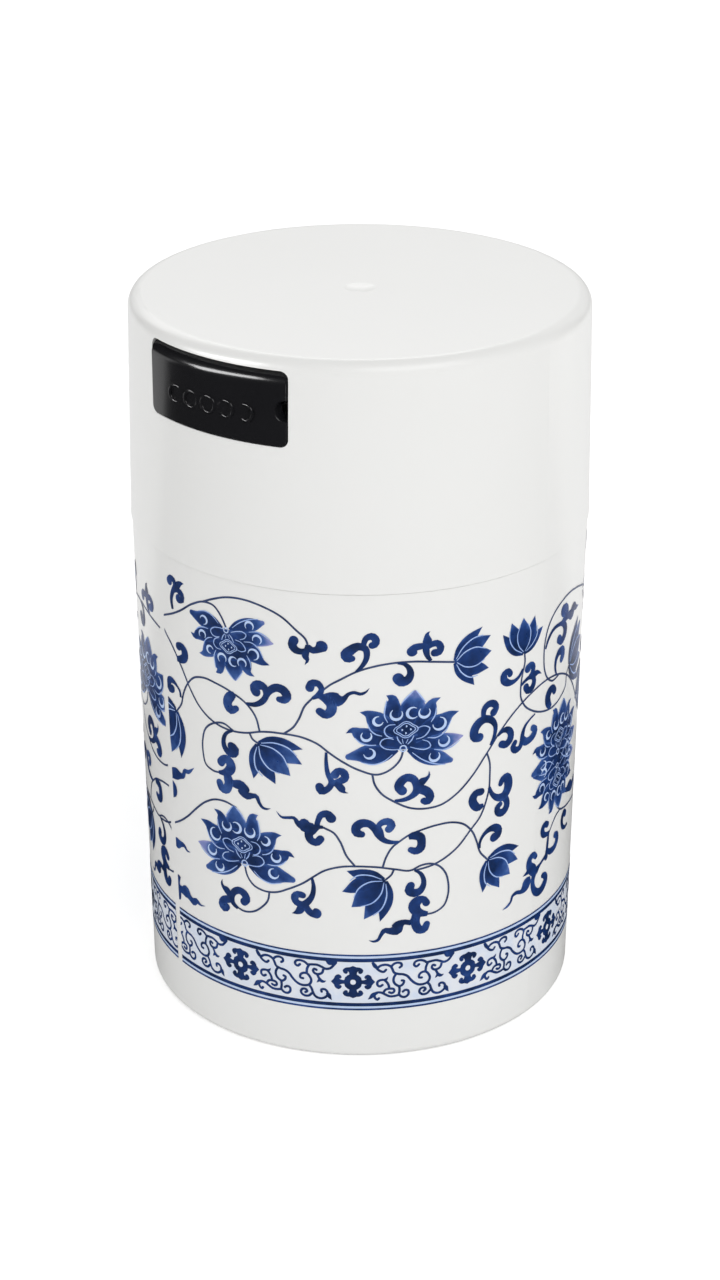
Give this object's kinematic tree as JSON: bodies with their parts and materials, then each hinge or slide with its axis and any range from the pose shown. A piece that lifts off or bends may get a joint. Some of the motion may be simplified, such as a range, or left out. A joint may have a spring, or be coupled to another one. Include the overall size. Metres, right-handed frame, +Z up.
{
  "type": "push-button vacuum storage canister",
  "caption": "Round storage canister with a push-on cap, a side release button that opens an air valve, and a blue floral print around its wall.",
  "frame": {"origin": "centre of the base, on the surface it stands on", "axes": "+Z up along the canister's axis, the release button faces -Y"},
  "size_m": [0.0872, 0.0872, 0.1405],
  "materials": {
    "white_plastic": "gloss white, slightly warm",
    "print_film": "clear film printed in cobalt blue",
    "natural_plastic": "satin natural white",
    "black_plastic": "gloss black",
    "silicone": "soft satin",
    "stopper_rubber": "matte black",
    "spring_steel": "drawn wire"
  },
  "bodies": {
    "canister": {"canister_body": "white_plastic", "printed_wrap": "print_film"},
    "seal": {"lid_seal_ring": "silicone"},
    "cap": {"cap_shell": "white_plastic", "inner_lid": "natural_plastic", "button_spring": "spring_steel", "valve_spring": "spring_steel"},
    "button": {"press_button": "black_plastic", "slide_fork": "natural_plastic"},
    "valve": {"valve_stem": "natural_plastic", "valve_stopper": "stopper_rubber"}
  },
  "joints": [
    {"name": "cap_lift", "type": "slide", "parent": "canister", "child": "seal", "axis": [0, 0, 1], "range_m": [0, 0.06]},
    {"name": "cap_turn", "type": "hinge", "parent": "seal", "child": "cap", "pos_m": [0, 0, 0.112], "axis": [0, 0, 1], "continuous": true},
    {"name": "button_press", "type": "slide", "parent": "cap", "child": "button", "axis": [0, 1, 0], "range_m": [0, 0.0035], "stiffness_N_per_m": 800, "springref_m": -0.003, "deforming": ["button_spring"]},
    {"name": "valve_lift", "type": "slide", "parent": "cap", "child": "valve", "axis": [0, 0, 1], "range_m": [0, 0.0014], "deforming": ["valve_spring"]}
  ],
  "couplings": [
    {"joint": "valve_lift", "follows": "button_press", "ratio": 0.4}
  ]
}
